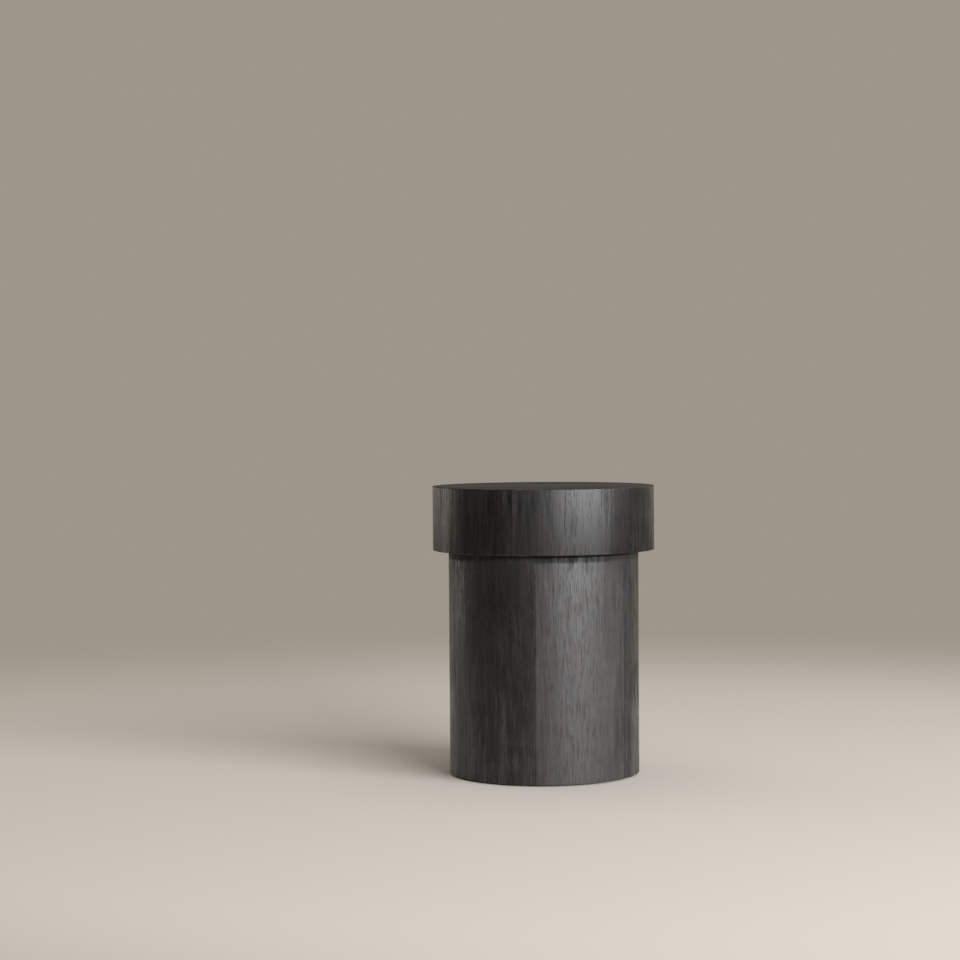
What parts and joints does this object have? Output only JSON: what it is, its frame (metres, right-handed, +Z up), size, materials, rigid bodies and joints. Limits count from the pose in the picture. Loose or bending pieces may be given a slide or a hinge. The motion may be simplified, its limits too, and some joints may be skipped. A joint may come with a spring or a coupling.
{
  "type": "round side table",
  "caption": "Round side table: a drum column under a wider, thick round cap, both faced in black-stained upright-grain veneer, standing on low screw feet.",
  "frame": {"origin": "on the floor, on the axis of the column and cap", "axes": "+Z up along the axis of the column, -Y towards the front, which is the side pictured, and +X to the right seen from there"},
  "size_m": [0.3999, 0.4, 0.52],
  "materials": {
    "stained_veneer": "black-stained open-grain veneer, brushed, satin lacquer",
    "stained_plywood": "plywood, stained black where it shows",
    "birch_plywood": "bare birch plywood",
    "pine": "bare planed pine",
    "hardboard": "smooth brown hardboard",
    "zinc_steel": "zinc-plated steel",
    "black_nylon": "matt black nylon"
  },
  "bodies": {
    "table": {"top_veneer": "stained_veneer", "rim_veneer": "stained_veneer", "column_veneer": "stained_veneer", "rim_hoop": "stained_plywood", "soffit_panel": "stained_plywood", "column_hoop": "stained_plywood", "top_panel": "birch_plywood", "front_cap_rib": "birch_plywood", "back_cap_rib": "birch_plywood", "left_cap_rib": "birch_plywood", "right_cap_rib": "birch_plywood", "top_former": "birch_plywood", "base_former": "birch_plywood", "rim_seam_block": "pine", "right_batten": "pine", "seam_batten": "pine", "left_batten": "pine", "front_batten": "pine", "base_hatch": "hardboard", "cap_washers": "zinc_steel", "cap_screws": "zinc_steel", "foot_inserts": "zinc_steel"},
    "back_right_pad": {"back_right_foot_pad": "black_nylon"},
    "back_right_screw": {"back_right_foot_screw": "zinc_steel"},
    "back_left_pad": {"back_left_foot_pad": "black_nylon"},
    "back_left_screw": {"back_left_foot_screw": "zinc_steel"},
    "front_left_pad": {"front_left_foot_pad": "black_nylon"},
    "front_left_screw": {"front_left_foot_screw": "zinc_steel"},
    "front_right_pad": {"front_right_foot_pad": "black_nylon"},
    "front_right_screw": {"front_right_foot_screw": "zinc_steel"}
  },
  "joints": [
    {"name": "back_right_foot_travel", "type": "slide", "parent": "table", "child": "back_right_pad", "axis": [0, 0, -1], "range_m": [0, 0.008]},
    {"name": "back_right_foot_turn", "type": "hinge", "parent": "back_right_pad", "child": "back_right_screw", "pos_m": [0.09716, 0.09716, 0.0045], "axis": [0, 0, -1], "range_deg": [0, 2304]},
    {"name": "back_left_foot_travel", "type": "slide", "parent": "table", "child": "back_left_pad", "axis": [0, 0, -1], "range_m": [0, 0.008]},
    {"name": "back_left_foot_turn", "type": "hinge", "parent": "back_left_pad", "child": "back_left_screw", "pos_m": [-0.09716, 0.09716, 0.0045], "axis": [0, 0, -1], "range_deg": [0, 2304]},
    {"name": "front_left_foot_travel", "type": "slide", "parent": "table", "child": "front_left_pad", "axis": [0, 0, -1], "range_m": [0, 0.008]},
    {"name": "front_left_foot_turn", "type": "hinge", "parent": "front_left_pad", "child": "front_left_screw", "pos_m": [-0.09716, -0.09716, 0.0045], "axis": [0, 0, -1], "range_deg": [0, 2304]},
    {"name": "front_right_foot_travel", "type": "slide", "parent": "table", "child": "front_right_pad", "axis": [0, 0, -1], "range_m": [0, 0.008]},
    {"name": "front_right_foot_turn", "type": "hinge", "parent": "front_right_pad", "child": "front_right_screw", "pos_m": [0.09716, -0.09716, 0.0045], "axis": [0, 0, -1], "range_deg": [0, 2304]}
  ],
  "couplings": [
    {"joint": "back_right_foot_travel", "follows": "back_right_foot_turn", "m_per_rad": 0.00019894},
    {"joint": "back_left_foot_travel", "follows": "back_left_foot_turn", "m_per_rad": 0.00019894},
    {"joint": "front_left_foot_travel", "follows": "front_left_foot_turn", "m_per_rad": 0.00019894},
    {"joint": "front_right_foot_travel", "follows": "front_right_foot_turn", "m_per_rad": 0.00019894}
  ]
}
